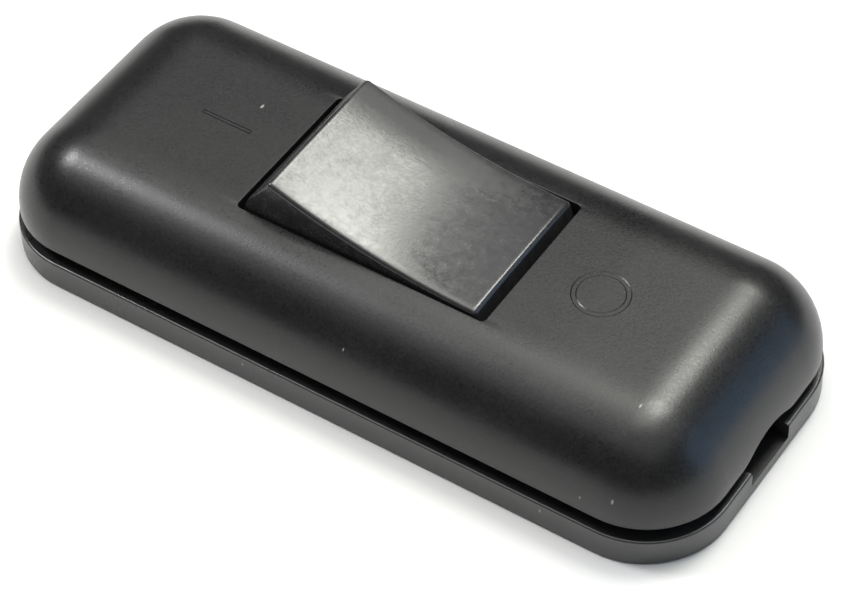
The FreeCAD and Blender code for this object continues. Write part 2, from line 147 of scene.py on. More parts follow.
hang_panel("left_window", -78, 50, away=0.8, width=0.17, height=0.18, radiance=28.5)
hang_panel("high_back_panel", 174, 64, away=0.9, width=0.29, height=0.38, radiance=15.5, tint=warm)
hang_panel("dim_back_panel", -150, 52, away=1.0, width=0.46, height=0.26, radiance=0.85)
hang_panel("ceiling_panel", 0, 89, away=1.0, width=1.7, height=1.7, radiance=0.76)
hang_panel("overhead_panel", -152, 81, away=0.95, width=0.5, height=0.55, radiance=4.0, tint=warm)
hang_panel("cool_right_panel", 112, 18, away=0.9, width=0.6, height=0.62, radiance=1.3, tint=cool)

# %% Lay the floor and set the room's own light
floor_half = 2
floor_drop = 0.00005
paper_grey = 0.8
paper_roughness = 0.9
room_glow = 0.04

floor_corners = [(floor_half * i, floor_half * j, 0) for i, j in ((-1, -1), (1, -1), (1, 1), (-1, 1))]
floor_mesh = bpy.data.meshes.new("studio_floor")
floor_mesh.from_pydata(floor_corners, [], [(0, 1, 2, 3)])
floor = bpy.data.objects.new("studio_floor", floor_mesh)
floor.location.z = -floor_drop
bpy.context.scene.collection.objects.link(floor)

paper = bpy.data.materials.new("pale_paper")
paper.use_nodes = True
paper_shader = paper.node_tree.nodes["Principled BSDF"]
paper_shader.inputs["Base Color"].default_value = (paper_grey, paper_grey, paper_grey, 1)
paper_shader.inputs["Roughness"].default_value = paper_roughness
floor_mesh.materials.append(paper)

room = bpy.data.worlds.new("studio_room")
room.use_nodes = True
room.node_tree.nodes["Background"].inputs["Color"].default_value = (*white, 1)
room.node_tree.nodes["Background"].inputs["Strength"].default_value = room_glow
bpy.context.scene.world = room
bpy.context.scene.view_settings.view_transform = "Standard"
print("floor", floor.name, "room", room.name)

# %% [markdown]
# ## Rings for the moulded shells
# The cover and the base share one plan: a rectangle with straight ends, straight sides and
# four round corners. A cube with bevels could give the form, but a ring loft gives better
# control: each ring goes round the plan with the same number of columns, and the skin is
# laid between one ring and the next. A column is a point on the core rectangle and the
# direction that leads outwards from it, so a ring needs only a reach and a height. The core
# is the plan less the radius that rolls its sides, ends and corners alike.

# %% Columns, rings and skins
half_length = 40.0
half_width = 16.85
roll = 8.7
core_x = half_length - roll
core_y = half_width - roll
end_steps = 40
side_steps = 30
corner_steps = 14
merge_gap = 1e-4


def plan_columns(half_x, half_y):
    """Core point and outward direction of every column, once round the plan."""
    columns = []
    for i in range(4):
        quarter = math.radians(90 * i)
        out = Vector((round(math.cos(quarter)), round(math.sin(quarter)), 0))
        along = Vector((-out.y, out.x, 0))
        steps = end_steps if i % 2 == 0 else side_steps
        reach = half_x if i % 2 == 0 else half_y
        run = half_y if i % 2 == 0 else half_x
        for k in range(steps):
            columns.append((out * reach + along * run * (2 * k / steps - 1), out))
        for k in range(corner_steps):
            bend = quarter + math.radians(90) * k / corner_steps
            columns.append((out * reach + along * run, Vector((math.cos(bend), math.sin(bend), 0))))
    return columns


def per_column(value, count):
    return value if isinstance(value, list) else [value] * count


def ring(columns, reach, height):
    """One loop of points; reach and height are numbers or a list with one for each column."""
    reaches = per_column(reach, len(columns))
    heights = per_column(height, len(columns))
    each = zip(columns, reaches, heights)
    return [Vector((p.x + n.x * r, p.y + n.y * r, z)) for (p, n), r, z in each]


def solid(name, points, faces):
    """Object with merged points and faces that look outwards."""
    mesh = bpy.data.meshes.new(name)
    mesh.from_pydata(points, [], faces)
    shape = bmesh.new()
    shape.from_mesh(mesh)
    bmesh.ops.remove_doubles(shape, verts=shape.verts, dist=merge_gap)
    bmesh.ops.recalc_face_normals(shape, faces=shape.faces)
    shape.to_mesh(mesh)
    shape.free()
    made = bpy.data.objects.new(name, mesh)
    bpy.context.scene.collection.objects.link(made)
    return made


def skin(name, rings, joined):
    """Solid over the rings. The last ring is joined to the first, or both are capped."""
    count = len(rings[0])
    points = [p for loop in rings for p in loop]
    faces = []
    for r in range(len(rings) if joined else len(rings) - 1):
        low = r * count
        high = (r + 1) % len(rings) * count
        for k in range(count):
            after = (k + 1) % count
            faces.append((low + k, low + after, high + after, high + k))
    if not joined:
        faces.append(tuple(range(count)))
        faces.append(tuple(range(len(points) - count, len(points))))
    return solid(name, points, faces)


body_columns = plan_columns(core_x, core_y)
print("columns round the plan", len(body_columns))

# %% [markdown]
# ## The cover's skin
# The cover is a pillow: its sides roll into the top with one radius, and at both ends the
# rim lifts into a low arch over the cord. A block with rounded edges would come close, but
# a plain arc meets a flat top with a line that shows in the highlights. So the roll sets in
# gradually, over a small width on each side of the core's edge. The skin runs from the rim
# up the outside, over the top, down the wall of the rocker opening, and back along the
# inside, so it closes on itself without a cap. The real moulding has no knife edges, so the
# rim and the opening get a small round.

# %% Heights along the rim
plate_height = 3.2
reveal_height = 1.55
rim = plate_height + reveal_height
arch_half = 5.2
arch_rise = 1.3
arch_blend = 3.5


def arch_lift(y):
    """How far the rim rises across the end: an arc that a hollow arc leads into the rim."""
    y = abs(y)
    arch_radius = (arch_half**2 + arch_rise**2) / (2 * arch_rise) - arch_blend
    if y >= arch_half:
        return 0.0
    if y <= arch_half * arch_radius / (arch_radius + arch_blend):
        return arch_rise - arch_radius + math.sqrt(arch_radius**2 - y**2)
    return arch_blend - math.sqrt(arch_blend**2 - (arch_half - y) ** 2)


rim_line = [rim + (arch_lift(p.y) if n.y == 0 else 0.0) for p, n in body_columns]
print("rim from", min(rim_line), "to", round(max(rim_line), 2), "mm")

# %% Height of the cover over its plan
rim_land = 0.35
roll_start = rim + rim_land
soft_edge = 1.5
cover_top = roll_start + math.sqrt(roll**2 + soft_edge**2 / 3)
never_zero = 1e-9


def past_core(x, y):
    """Distance outside the core rectangle, and less than zero inside it."""
    dx = abs(x) - core_x
    dy = abs(y) - core_y
    if max(dx, dy) > 0:
        return math.hypot(max(dx, 0), max(dy, 0))
    return -dx * dy / max(math.hypot(dx, dy), never_zero)


def cover_height(x, y):
    """Height of the outside over a point. The flat top and the roll meet without a break."""
    past = past_core(x, y)
    if past >= soft_edge:
        return roll_start + math.sqrt(roll**2 - past**2)
    fall = max(past + soft_edge, 0) ** 3 / (6 * soft_edge)
    return roll_start + math.sqrt(roll**2 + soft_edge**2 / 3 - fall)


print("flat top at", round(cover_top, 3), "mm")

# %% Rings from the rim to the shoulder
cover_wall = 2.0
inner_reach = roll - cover_wall
rim_round = 0.15
rim_shares = (0, 0.3, 0.65)
roll_steps = 24
roll_end = math.radians(79)


def roll_reach(z):
    """How far the outside stands from the core at a height."""
    rise = max(z - roll_start, 0)
    return math.sqrt(roll**2 - rise**2)


def outside_rings():
    """Along the rim, round its small edge and up the roll."""
    rings = [ring(body_columns, inner_reach, rim_line)]
    foot = [z + rim_round for z in rim_line]
    foot_reach = [roll_reach(z) for z in foot]
    for share in rim_shares:
        bend = share * math.pi / 2
        inset = rim_round * (1 - math.sin(bend))
        drop = rim_round * math.cos(bend)
        rings.append(ring(body_columns, [r - inset for r in foot_reach], [z - drop for z in foot]))
    rings.append(ring(body_columns, foot_reach, foot))
    for k in range(1, roll_steps + 1):
        bends = []
        for z in foot:
            first = math.asin(max(z - roll_start, 0) / roll)
            bends.append(first + (roll_end - first) * k / roll_steps)
        reaches = [roll * math.cos(b) for b in bends]
        rings.append(ring(body_columns, reaches, [roll_start + roll * math.sin(b) for b in bends]))
    return rings


cover_rings = outside_rings()
print("rings up to the shoulder", len(cover_rings))

# %% Rings over the top and back along the inside
opening_end = 14.1
opening_side = 8.8
opening_corner = 0.5
opening_round = 0.12
opening_steps = 4
opening_columns = plan_columns(opening_end - opening_corner, opening_side - opening_corner)
top_shares = (0.03, 0.06, 0.09, 0.12, 0.15, 0.18, 0.3, 0.45, 0.6, 0.75, 0.88, 1)
ceiling = roll_start + roll - cover_wall
inner_bevel = (2 - math.sqrt(2)) * inner_reach


def on_top(loop, drop=0.0):
    """The loop laid on the cover's outside, or a little under it."""
    return [Vector((p.x, p.y, cover_height(p.x, p.y) - drop)) for p in loop]


def top_rings(shoulder):
    """From the shoulder to the opening, close together where the roll sets in."""
    edge = ring(opening_columns, opening_corner + opening_round, cover_top)
    return [on_top([a.lerp(b, share) for a, b in zip(shoulder, edge)]) for share in top_shares]


def opening_rings():
    """Round the edge of the opening, down its wall and along the ceiling to the inner side."""
    rings = []
    for k in range(1, opening_steps + 1):
        bend = k * math.pi / 2 / opening_steps
        reach = opening_corner + opening_round * (1 - math.sin(bend))
        rings.append(on_top(ring(opening_columns, reach, 0), opening_round * (1 - math.cos(bend))))
    rings.append(ring(opening_columns, opening_corner, ceiling))
    rings.append(ring(body_columns, inner_reach - inner_bevel, ceiling))
    rings.append(ring(body_columns, inner_reach, ceiling - inner_bevel))
    return rings


cover_rings += top_rings(cover_rings[-1])
cover_rings += opening_rings()
cover = skin("cover_shell", cover_rings, True)
print("cover skin rings", len(cover_rings), "faces", len(cover.data.polygons))

# %% [markdown]
# ## Works inside the cover
# Under the top hang two bearing cheeks that hold the rocker's axle, and two bosses that
# take the housing screws. Nobody sees them until the switch is opened, but a cover without
# them could not hold a rocker. They could be drawn out of the skin's own faces, but that
# would spoil its even rings. So each is a plain solid that reaches a little into the
# ceiling, and a boolean joins it on, as the plastic flows into one piece in the mould.

# %% Solids for booleans
def prism(name, outline, y_low, y_high):
    """Solid with one outline in the X-Z plane, drawn across the switch."""
    near = [Vector((x, y_low, z)) for x, z in outline]
    far = [Vector((x, y_high, z)) for x, z in outline]
    return skin(name, [near, far], False)


def block(name, low, high):
    outline = [(low[0], low[2]), (high[0], low[2]), (high[0], high[2]), (low[0], high[2])]
    return prism(name, outline, low[1], high[1])


def round_bar(name, start, end, radius, steps=40):
    """Cylinder between two points."""
    axis = (Vector(end) - Vector(start)).normalized()
    side = axis.orthogonal().normalized()
    other = axis.cross(side)
    circle = [2 * math.pi * k / steps for k in range(steps)]
    arm = [side * radius * math.cos(a) + other * radius * math.sin(a) for a in circle]
    return skin(name, [[Vector(p) + v for v in arm] for p in (start, end)], False)


def shaped_by(piece, tool, operation):
    """Applies a boolean to a piece and throws the tool away."""
    step = piece.modifiers.new("shape", "BOOLEAN")
    step.operation = operation
    step.solver = "EXACT"
    step.object = tool
    graph = bpy.context.evaluated_depsgraph_get()
    made = bpy.data.meshes.new_from_object(piece.evaluated_get(graph))
    piece.modifiers.clear()
    piece.data = made
    bpy.data.objects.remove(tool)
    return piece


print("solids ready for booleans")

# %% Hang the cheeks and bosses
pivot_height = 9.4
axle_radius = 1.3
axle_play = 0.05
bearing_end = 12
cheek_round = 3.0
cheek_wall = 1.8
cheek_steps = 24
root_depth = 0.6
screw_x = 23.5
screw_y = 10.2
screw_places = [(screw_x, -screw_y), (-screw_x, screw_y)]
boss_low = 5.6
boss_high = 12.0
boss_radius = 2.8
pilot_low = 4
pilot_high = 11.0
pilot_radius = 1.15

half_turn = [math.pi * (1 + k / cheek_steps) for k in range(cheek_steps + 1)]
cheek = [(cheek_round * math.cos(a), pivot_height + cheek_round * math.sin(a)) for a in half_turn]
cheek += [(cheek_round, ceiling + root_depth), (-cheek_round, ceiling + root_depth)]
for side in (-1, 1):
    near, far = sorted((side * opening_side, side * (opening_side + cheek_wall)))
    shaped_by(cover, prism("cheek", cheek, near, far), "UNION")
for x, y in screw_places:
    shaped_by(cover, round_bar("boss", (x, y, boss_low), (x, y, boss_high), boss_radius), "UNION")
bearing_ends = [(0, y, pivot_height) for y in (-bearing_end, bearing_end)]
shaped_by(cover, round_bar("axle_hole", *bearing_ends, axle_radius + axle_play), "DIFFERENCE")
for x, y in screw_places:
    pilot = round_bar("pilot_hole", (x, y, pilot_low), (x, y, pilot_high), pilot_radius)
    shaped_by(cover, pilot, "DIFFERENCE")
print("cover with its inside works, faces", len(cover.data.polygons))

# %% [markdown]
# ## The I and O marks
# Both marks go a hair's depth into the flat top, and only their edges catch the light. The
# ring is a shallow groove. Of the bar only a thin line round its outline is sunk. A bump
# map would show them too, but it has no edge when the camera comes close, so they are cut
# as grooves with sloping walls.

# %% Cut the marks
mark_place = 21.5
mark_depth = 0.07
ring_inner = 2.3
ring_outer = 2.92
ring_draft = 0.13
ring_steps = 96
ring_clear = 0.4
bar_length = 5.85
bar_width = 0.52
bar_line = 0.13
bar_draft = 0.03
bar_clear = 0.1


def groove_corners(inner, outer, draft, clear):
    """Reach and height of the cutter's corners, from the groove's floor to clear of the top."""
    deep = cover_top - mark_depth
    high = cover_top + clear
    flare = draft * (high - deep) / mark_depth
    return [
        (inner + draft, deep),
        (outer - draft, deep),
        (outer - draft + flare, high),
        (inner + draft - flare, high),
    ]


def ring_groove(x):
    """Half a step keeps the points off the skin's own line along the middle."""
    circle = [2 * math.pi * (k + 0.5) / ring_steps for k in range(ring_steps)]
    rings = []
    for r, z in groove_corners(ring_inner, ring_outer, ring_draft, ring_clear):
        rings.append([Vector((x + r * math.cos(a), r * math.sin(a), z)) for a in circle])
    return skin("ring_groove", rings, True)


def bar_groove(x):
    """Thin line all round the outline of the bar."""
    rings = []
    for grow, z in groove_corners(-bar_line, 0, bar_draft, bar_clear):
        a = bar_length / 2 + grow
        b = bar_width / 2 + grow
        rings.append([Vector((x + i, j, z)) for i, j in ((-a, -b), (a, -b), (a, b), (-a, b))])
    return skin("bar_groove", rings, True)


shaped_by(cover, ring_groove(mark_place), "DIFFERENCE")
shaped_by(cover, bar_groove(-mark_place), "DIFFERENCE")
print("cover with marks, faces", len(cover.data.polygons))

# %% [markdown]
# ## The base's skin
# The base is a shallow tray: a plate that stands a little proud of the cover, a dark
# set-back reveal above it, and a lip that goes up inside the cover. The same columns carry
# it, with a cap under the floor and one on it. Its posts, ribs and hooks could be drawn
# anew, but they are right in the CAD solid, so a copy of it is trimmed to the room inside
# the skin. The copy's floor reaches a little into the skin's wall and floor, so that the
# two join, and the lip is the skin's alone.

# %% Loft the base
plate_step = 0.3
plate_reach = roll + plate_step
foot_round = 0.25
plate_round = 0.25
round_steps = 5
reveal_depth = 1.2
reveal_reach = roll - reveal_depth
lip_play = 0.15
lip_reach = inner_reach - lip_play
lip_inside = 5.12
lip_height = 2.0
lip_top = rim + lip_height
lip_chamfer = 0.3
skin_floor = 1.0


def base_rings():
    """From under the plate up its side, over the reveal and the lip, and down to the floor."""
    quarter = [k * math.pi / 2 / round_steps for k in range(round_steps + 1)]
    rings = []
    for bend in quarter:
        reach = plate_reach - foot_round * (1 - math.sin(bend))
        rings.append(ring(body_columns, reach, foot_round * (1 - math.cos(bend))))
    for bend in quarter:
        reach = plate_reach - plate_round * (1 - math.cos(bend))
        rings.append(ring(body_columns, reach, plate_height - plate_round * (1 - math.sin(bend))))
    for reach, height in (
        (reveal_reach, plate_height),
        (reveal_reach, rim),
        (lip_reach, rim),
        (lip_reach, lip_top - lip_chamfer),
        (lip_reach - lip_chamfer, lip_top),
        (lip_inside, lip_top),
        (lip_inside, skin_floor),
    ):
        rings.append(ring(body_columns, reach, height))
    return rings


base = skin("base_shell", base_rings(), False)
print("base skin faces", len(base.data.polygons))

# %% Carry over the inside works of the base
floor_low = 0.7
floor_high = 1.45
floor_reach = 5.42
room_reach = 5.1
over_lip = 9.0


def solid_copy(node):
    """Copy of a CAD node in mm, with the seams between its faces closed."""
    mesh = nodes[node].data
    points = [v.co * to_mm for v in mesh.vertices]
    return solid(node + "_inside", points, [tuple(p.vertices) for p in mesh.polygons])


room_steps = [
    (floor_reach, floor_low),
    (floor_reach, floor_high),
    (room_reach, floor_high),
    (room_reach, over_lip),
]
tray_room = skin("tray_room", [ring(body_columns, r, z) for r, z in room_steps], False)
tray_inside = shaped_by(solid_copy("base_tray"), tray_room, "INTERSECT")
shaped_by(base, tray_inside, "UNION")
print("base with its inside works, faces", len(base.data.polygons))

# %% Cut the cord notches and screw recesses
# The cuts are a hair off those in the copy, so that no two faces lie in one plane.
notch_start = 34.0
notch_end = 42.0
notch_half = 3.51
notch_floor = 1.405
recess_low = -1
recess_top = 2.19
recess_radius = 2.505
recess_steps = 64

for side in (-1, 1):
    near, far = sorted((side * notch_start, side * notch_end))
    notch = block("cord_notch", (near, -notch_half, notch_floor), (far, notch_half, over_lip))
    shaped_by(base, notch, "DIFFERENCE")
for x, y in screw_places:
    recess_ends = [(x, y, recess_low), (x, y, recess_top)]
    recess = round_bar("screw_recess", *recess_ends, recess_radius, recess_steps)
    shaped_by(base, recess, "DIFFERENCE")
print("base with notches and screw recesses, faces", len(base.data.polygons))

# %% [markdown]
# ## The rocker
# The rocker is a hollow cap on an axle. Seen from the side its top is a shallow dish between
# two crests, its ends slope, and its skirts are arcs about the axle, so the gap to the
# housing stays the same while it tilts. It could be carved from a block, but one side outline
# keeps dish, slopes and skirts in step. The outline is pulled across in steps, with a slight
# crown that leaves the long edges lower, and the upper edges are rounded with a bevel. Then
# the hollow, the axle stubs and the two sleeves for the plungers are made with booleans, all
# in the level position. Last the piece is tilted to rest with its O end down.

# %% Side outline of the rocker
crest_half = 11.85
crest_height = 7.35
dish_depth = 1.0
end_slope = math.tan(math.radians(23.5))
skirt_gap = 0.3
skirt_radius = math.hypot(opening_end, ceiling - pivot_height) - skirt_gap
skirt_drop = 0.6
skirt_steps = 8
top_points = 41

# The knee is where the line of the end slope meets the arc of the skirt.
start_x = crest_half + crest_height * end_slope
square = 1 + end_slope**2
knee_z = (start_x * end_slope - math.sqrt(square * skirt_radius**2 - start_x**2)) / square
knee_x = start_x - end_slope * knee_z
dish_radius = (crest_half**2 + dish_depth**2) / (2 * dish_depth)


def rocker_outline():
    """From the left crest over the dish and down to the hems, with height 0 at the axle."""
    top = []
    for k in range(top_points):
        x = crest_half * (2 * k / (top_points - 1) - 1)
        top.append((x, crest_height - dish_depth + dish_radius - math.sqrt(dish_radius**2 - x**2)))
    first = math.atan2(knee_z, knee_x)
    last = math.asin(-skirt_drop / skirt_radius)
    skirt = []
    for k in range(skirt_steps + 1):
        a = first + (last - first) * k / skirt_steps
        skirt.append((skirt_radius * math.cos(a), skirt_radius * math.sin(a)))
    return top + skirt + [(-x, z) for x, z in reversed(skirt)]


print("knee of the end slope at", round(knee_x, 2), round(knee_z, 2), "mm from the axle")

# %% Pull the outline across with a crown
side_gap = 0.25
rocker_half = opening_side - side_gap
across_steps = 16
crown = 0.32
late_share = 0.6


def crown_drop(share):
    """How far the top has fallen at a share of the way to a long edge, most of it late."""
    return crown * ((1 - late_share) * share**2 + late_share * share**4)


def crowned_cap():
    outline = rocker_outline()
    rings = []
    for k in range(across_steps + 1):
        share = 2 * k / across_steps - 1
        drops = [crown_drop(share)] * top_points + [0.0] * (len(outline) - top_points)
        rings.append([Vector((x, rocker_half * share, z - d)) for (x, z), d in zip(outline, drops)])
    return skin("rocker_cap", rings, False)


rocker = crowned_cap()
print("rocker cap faces", len(rocker.data.polygons))

# %% Round the rocker's edges
edge_round = 0.39
edge_steps = 5
edge_bend = math.radians(25)
knee_play = 1e-3


def bevelled(piece, width, segments, wanted):
    """Rounds the edges that wanted(edge) picks."""
    shape = bmesh.new()
    shape.from_mesh(piece.data)
    picked = [edge for edge in shape.edges if wanted(edge)]
    bmesh.ops.bevel(
        shape,
        geom=picked,
        offset=width,
        segments=segments,
        profile=0.5,
        affect="EDGES",
        clamp_overlap=False,
    )
    bmesh.ops.recalc_face_normals(shape, faces=shape.faces)
    shape.to_mesh(piece.data)
    shape.free()
    print(piece.name, "rounded edges", len(picked))


def is_upper_edge(edge):
    low = min(v.co.z for v in edge.verts)
    return low > knee_z - knee_play and edge.calc_face_angle(0) > edge_bend


bevelled(rocker, edge_round, edge_steps, is_upper_edge)

# %% Hollow the rocker
rocker_wall = 1.6
roof_wall = 1.8
below_hem = -3
roof_height = crest_height - dish_depth - roof_wall
inner_side = rocker_half - rocker_wall

skin_x = rocker_wall * math.sqrt(square)
hem_x = skirt_radius - rocker_wall
roof_x = crest_half + (crest_height - roof_height) * end_slope - skin_x
inner_knee = min(hem_x, crest_half + (crest_height - knee_z) * end_slope - skin_x)
hollow = [(-hem_x, below_hem), (hem_x, below_hem), (inner_knee, knee_z), (roof_x, roof_height)]
hollow += [(-roof_x, roof_height), (-inner_knee, knee_z)]
shaped_by(rocker, prism("hollow", hollow, -inner_side, inner_side), "DIFFERENCE")
print("hollow rocker, faces", len(rocker.data.polygons))

# %% Give it ears, axle stubs and sleeves, and tilt it to rest
ear_half = 2.4
ear_low = -2.0
ear_high = 0.5
ear_inside = 0.1
ear_outside = 0.02
axle_inside = 0.05
axle_end = 10.4
pole_y = 4.2
bore_radius = 1.66
sleeve_wall = 0.85
sleeve_half = bore_radius + sleeve_wall
sleeve_low = -1.4
rest_tilt = math.radians(11)

for side in (-1, 1):
    near, far = sorted((side * (inner_side + ear_inside), side * (rocker_half - ear_outside)))
    ear = block("ear", (-ear_half, near, ear_low), (ear_half, far, ear_high))
    shaped_by(rocker, ear, "UNION")
    stub_ends = [(0, side * (inner_side + axle_inside), 0), (0, side * axle_end, 0)]
    shaped_by(rocker, round_bar("axle", *stub_ends, axle_radius), "UNION")
for y in (-pole_y, pole_y):
    sleeve_start = (-sleeve_half, y - sleeve_half, sleeve_low)
    sleeve = block("sleeve", sleeve_start, (sleeve_half, y + sleeve_half, roof_height + root_depth))
    shaped_by(rocker, sleeve, "UNION")
    bore = round_bar("bore", (0, y, below_hem), (0, y, roof_height), bore_radius)
    shaped_by(rocker, bore, "DIFFERENCE")
tilted = Matrix.Translation((0, 0, pivot_height)) @ Matrix.Rotation(rest_tilt, 4, "Y")
rocker.data.transform(tilted)
print("rocker faces", len(rocker.data.polygons))

# %% [markdown]
# ## Seat the shells
# The three shells were drawn in millimetres. Now they are scaled to the frame's metres, ride
# on the bodies that they belong to, and stand for the CAD nodes of the same form. Faces are
# shaded smooth with sharp creases where they meet at a real edge, and the normals are
# weighted by face size, so a wide flat face stays flat beside a narrow round.

# %% Seat and smooth the shells
housing_crease = 20
rocker_crease = 32


def seat_shell(piece, body, node, crease):
    piece.data.transform(Matrix.Scale(to_metres, 4))
    piece.data.shade_smooth()
    piece.data.set_sharp_from_angle(angle=math.radians(crease))
    normals = piece.modifiers.new("even_normals", "WEIGHTED_NORMAL")
    normals.keep_sharp = True
    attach(piece, body)
    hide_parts(node)
    low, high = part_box(node)
    off = []
    for i in range(3):
        along = [v.co[i] for v in piece.data.vertices]
        off += [abs(min(along) - low[i]), abs(max(along) - high[i])]
    print(piece.name, "stands for", node, "box differs by", round(to_mm * max(off), 3), "mm")


seat_shell(cover, "housing", "top_cover", housing_crease)
seat_shell(base, "housing", "base_tray", housing_crease)
seat_shell(rocker, "rocker", "rocker", rocker_crease)

# %% [markdown]
# ## The plunger springs
# Inside the rocker a coil spring of drawn wire pushes each plunger down. A screw modifier
# could turn a circle into a coil, but then all the turns would be equally far apart. A real
# spring is wound close at its ends so that it stands square, so here the wire's circle is
# carried along a path that rises slowly there and faster between. The spring gets shorter
# when its plunger is pushed in.

# %% Wind the springs
wire_radius = 0.175
wire_steps = 12
coil_radius = 1.225
coil_turns = 5
turn_steps = 28
spring_low = 1.425
spring_high = 4.325
close_share = 0.16
close_rise = 0.34


def coil_height(share):
    """Height of the wire after a share of its turns."""
    if share <= close_share:
        return spring_low + close_rise * share / close_share
    if share >= 1 - close_share:
        return spring_high - close_rise * (1 - share) / close_share
    open_share = (share - close_share) / (1 - 2 * close_share)
    return spring_low + close_rise + (spring_high - spring_low - 2 * close_rise) * open_share


def wound_spring(name, y):
    """Coil in the tilted rocker, in mm."""
    wire = [2 * math.pi * k / wire_steps for k in range(wire_steps)]
    stations = turn_steps * coil_turns
    rings = []
    for i in range(stations + 1):
        a = 2 * math.pi * coil_turns * i / stations
        out = Vector((math.cos(a), math.sin(a), 0))
        centre = Vector((0, y, coil_height(i / stations))) + out * coil_radius
        loop = [out * math.cos(b) + Vector((0, 0, math.sin(b))) for b in wire]
        rings.append([centre + arm * wire_radius for arm in loop])
    spring = skin(name, rings, False)
    spring.data.transform(tilted)
    return spring


springs = []
for pole, y in (("front", -pole_y), ("rear", pole_y)):
    spring = wound_spring("coil_spring_" + pole, y)
    spring.data.transform(Matrix.Scale(to_metres, 4))
    spring.data.shade_smooth()
    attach(spring, "rocker")
    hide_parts("plunger_spring_" + pole)
    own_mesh(spring)
    springs.append(spring)
    print(spring.name, "turns", coil_turns, "faces", len(spring.data.polygons))

# %% [markdown]
# ## Tools for finishes
# Every finish is a small node graph on the piece's own coordinates, so it needs no picture
# and no unwrapping. A noise gives clouds or grain, a range turns it into a roughness or a
# colour, and a bump lets the light feel it. Sizes are given in millimetres of the real
# surface: a noise with features of that size has a scale of one over the size. Nearly all of
# a noise lies in the middle of its range, so that part is the one that is stretched.

# %% Node helpers for places and noises
noise_low = 0.3
noise_high = 0.7


def new_finish(name):
    """Material, its tree and shader, and the piece's own coordinates."""
    finish = bpy.data.materials.new(name)
    finish.use_nodes = True
    tree = finish.node_tree
    place = tree.nodes.new("ShaderNodeTexCoord").outputs["Object"]
    return finish, tree, tree.nodes["Principled BSDF"], place


def stretched(tree, place, stretch, turn_deg=(0, 0, 0)):
    """Coordinates turned and squeezed, for streaks."""
    node = tree.nodes.new("ShaderNodeMapping")
    node.inputs["Rotation"].default_value = [math.radians(v) for v in turn_deg]
    node.inputs["Scale"].default_value = stretch
    tree.links.new(place, node.inputs["Vector"])
    return node.outputs["Vector"]


def clouds(tree, place, size_mm, detail=2.0, rough=0.5, warp=0.0):
    """Noise from 0 to 1 with features of about that size."""
    node = tree.nodes.new("ShaderNodeTexNoise")
    node.inputs["Scale"].default_value = to_mm / size_mm
    node.inputs["Detail"].default_value = detail
    node.inputs["Roughness"].default_value = rough
    node.inputs["Distortion"].default_value = warp
    tree.links.new(place, node.inputs["Vector"])
    return node.outputs["Fac"]


def spread(tree, value, low, high, to_low, to_high):
    """A value from low to high becomes one from to_low to to_high."""
    node = tree.nodes.new("ShaderNodeMapRange")
    for name, number in (("From Min", low), ("From Max", high), ("To Min", to_low), ("To Max", to_high)):
        node.inputs[name].default_value = number
    tree.links.new(value, node.inputs["Value"])
    return node.outputs["Result"]


def spread_noise(tree, noise, to_low, to_high):
    """The middle of a noise becomes a run from to_low to to_high."""
    return spread(tree, noise, noise_low, noise_high, to_low, to_high)


print("helpers for places and noises ready")

# %% Node helpers for sums, shades, bumps and spots
def reckon(tree, operation, a, b):
    """Sum, product and the like of two values; b may be a number."""
    node = tree.nodes.new("ShaderNodeMath")
    node.operation = operation
    tree.links.new(a, node.inputs[0])
    if isinstance(b, (int, float)):
        node.inputs[1].default_value = b
    else:
        tree.links.new(b, node.inputs[1])
    return node.outputs["Value"]


def shades(tree, value, dark, light):
    """Colour between two shades."""
    node = tree.nodes.new("ShaderNodeValToRGB")
    node.color_ramp.elements[0].color = (*dark, 1)
    node.color_ramp.elements[1].color = (*light, 1)
    tree.links.new(value, node.inputs["Fac"])
    return node.outputs["Color"]


def feel(tree, shader, height, depth_mm, strength):
    """Bump of that depth."""
    node = tree.nodes.new("ShaderNodeBump")
    node.inputs["Distance"].default_value = depth_mm / to_mm
    node.inputs["Strength"].default_value = strength
    tree.links.new(height, node.inputs["Height"])
    tree.links.new(node.outputs["Normal"], shader.inputs["Normal"])


def specks(tree, place, spacing_mm, size_mm, share):
    """Small spots, one at most in each cell, in that share of the cells."""
    cells = tree.nodes.new("ShaderNodeTexVoronoi")
    cells.inputs["Scale"].default_value = to_mm / spacing_mm
    tree.links.new(place, cells.inputs["Vector"])
    edge = size_mm / spacing_mm
    spot = spread(tree, cells.outputs["Distance"], edge, 0.5 * edge, 0, 1)
    pick = tree.nodes.new("ShaderNodeSeparateColor")
    tree.links.new(cells.outputs["Color"], pick.inputs["Color"])
    chosen = reckon(tree, "GREATER_THAN", pick.outputs["Red"], 1 - share)
    return reckon(tree, "MULTIPLY", spot, chosen)


print("helpers for sums, shades, bumps and spots ready")

# %% [markdown]
# ## Grained black plastic
# The housing is black plastic from a spark-eroded mould: a fine even grain that breaks up
# every reflection, a little polished by hands, with pale dust and a few nicks. One
# roughness number would look like vinyl, so clouds change the roughness slowly, and the
# grain shows in the shade and is a true bump as well. The nicks are spots at chosen places,
# drawn out along the way the knock went. The base gets a lit copy of the same black, a
# little lighter and with more sheen: painted light that lifts its low side, which the
# floor's contact shadow would otherwise leave too dark.

# %% Housing finish
nick_squeeze = (1.0, 0.45, 0.45)
dust = (0.3, 0.3, 0.29)
blue_in_dark = 1.05
blue_in_light = 1.03


def nick(tree, place, at_mm, size_mm):
    """Pale spot at one place, longer across the switch than along it."""
    away = tree.nodes.new("ShaderNodeVectorMath")
    away.operation = "DISTANCE"
    away.inputs[1].default_value = [a * s / to_mm for a, s in zip(at_mm, nick_squeeze)]
    tree.links.new(stretched(tree, place, nick_squeeze), away.inputs[0])
    return spread(tree, away.outputs["Value"], size_mm / to_mm, 0.3 * size_mm / to_mm, 0, 1)


